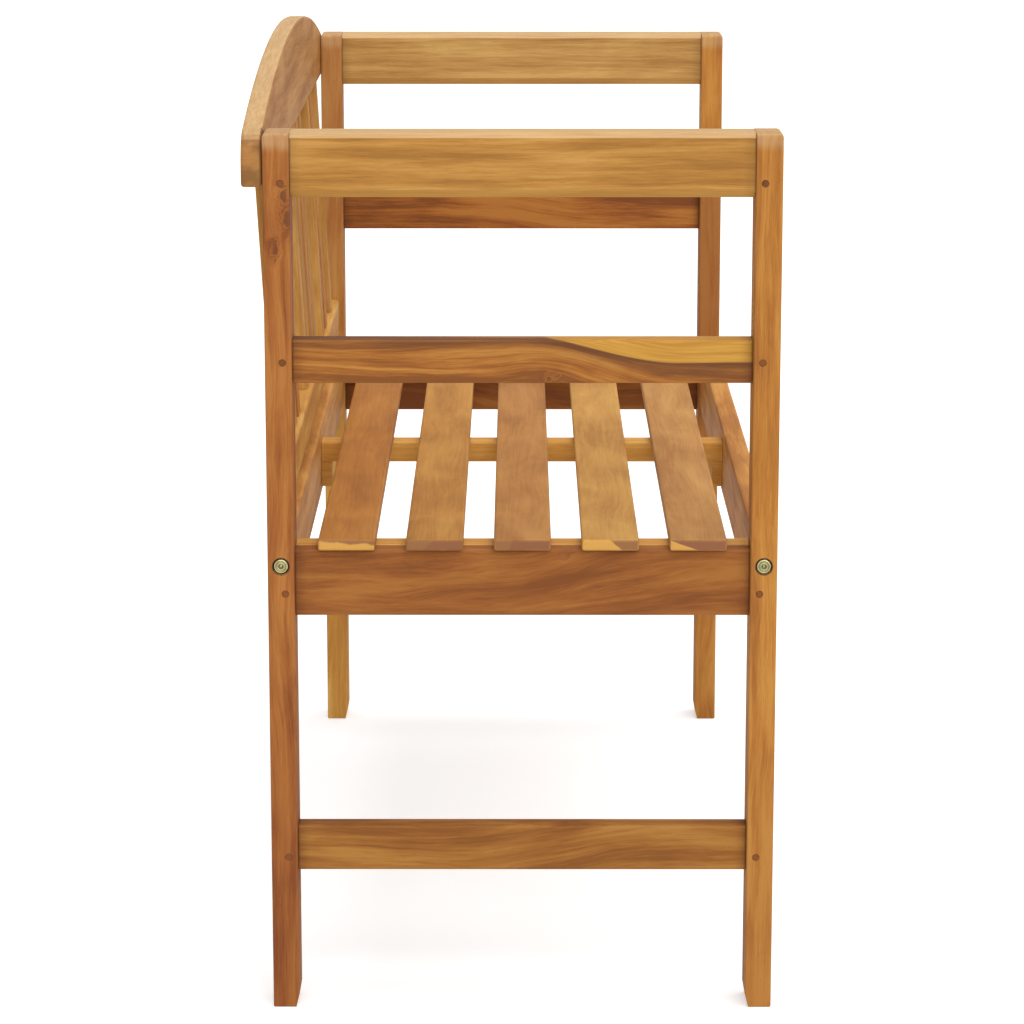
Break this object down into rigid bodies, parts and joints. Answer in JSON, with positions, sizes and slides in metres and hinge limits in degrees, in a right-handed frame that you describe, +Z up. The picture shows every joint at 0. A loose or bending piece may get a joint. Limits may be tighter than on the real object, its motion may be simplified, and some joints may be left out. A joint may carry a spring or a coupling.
{
  "type": "garden bench",
  "caption": "Wooden garden bench with post-and-rail end frames, level arms, a slatted seat and a leaning slatted back under an arched top rail.",
  "frame": {"origin": "on the ground, under the middle of the whole bench", "axes": "+X along the bench (the end named left is at -X), -Y towards the front where a sitter's knees are, +Z up"},
  "size_m": [1.12, 0.5142, 0.9255],
  "materials": {
    "post_wood": "oiled hardwood",
    "arm_wood": "oiled hardwood",
    "top_rail_wood": "oiled hardwood",
    "rail_wood": "oiled hardwood",
    "seat_slat_wood": "oiled hardwood",
    "back_slat_wood": "oiled hardwood",
    "back_slat_dark_wood": "oiled hardwood",
    "pin_wood": "end grain, oiled",
    "yellow_zinc_steel": "yellow zinc plating",
    "steel": "plain steel"
  },
  "bodies": {
    "root": {"arm_rail_left": "arm_wood", "arm_rail_right": "arm_wood", "back_lower_rail": "rail_wood", "back_slat_01": "back_slat_wood", "back_slat_02": "back_slat_wood", "back_slat_03": "back_slat_wood", "back_slat_04": "back_slat_wood", "back_slat_05": "back_slat_dark_wood", "back_slat_06": "back_slat_dark_wood", "back_slat_07": "back_slat_wood", "back_slat_08": "back_slat_wood", "back_slat_09": "back_slat_wood", "back_slat_10": "back_slat_wood", "back_top_rail": "top_rail_wood", "barrel_nut_back_left": "steel", "barrel_nut_back_right": "steel", "barrel_nut_front_left": "steel", "barrel_nut_front_right": "steel", "bolt_back_left": "yellow_zinc_steel", "bolt_back_right": "yellow_zinc_steel", "bolt_front_left": "yellow_zinc_steel", "bolt_front_right": "yellow_zinc_steel", "mid_rail_left": "rail_wood", "mid_rail_right": "rail_wood", "pin_arm_rail_back_left": "pin_wood", "pin_arm_rail_back_right": "pin_wood", "pin_arm_rail_front_left": "pin_wood", "pin_arm_rail_front_right": "pin_wood", "pin_mid_rail_back_left": "pin_wood", "pin_mid_rail_back_right": "pin_wood", "pin_mid_rail_front_left": "pin_wood", "pin_mid_rail_front_right": "pin_wood", "pin_seat_side_rail_back_left": "pin_wood", "pin_seat_side_rail_back_right": "pin_wood", "pin_seat_side_rail_front_left": "pin_wood", "pin_seat_side_rail_front_right": "pin_wood", "pin_stretcher_back_left": "pin_wood", "pin_stretcher_back_right": "pin_wood", "pin_stretcher_front_left": "pin_wood", "pin_stretcher_front_right": "pin_wood", "post_back_left": "post_wood", "post_back_right": "post_wood", "post_front_left": "post_wood", "post_front_right": "post_wood", "seat_batten": "seat_slat_wood", "seat_cleat_left": "rail_wood", "seat_cleat_right": "rail_wood", "seat_rail_back": "rail_wood", "seat_rail_front": "rail_wood", "seat_side_rail_left": "rail_wood", "seat_side_rail_right": "rail_wood", "seat_slat_1": "seat_slat_wood", "seat_slat_2": "seat_slat_wood", "seat_slat_3": "seat_slat_wood", "seat_slat_4": "seat_slat_wood", "seat_slat_5": "seat_slat_wood", "stretcher_left": "rail_wood", "stretcher_right": "rail_wood", "top_rail_screw_left": "yellow_zinc_steel", "top_rail_screw_right": "yellow_zinc_steel"}
  },
  "joints": []
}
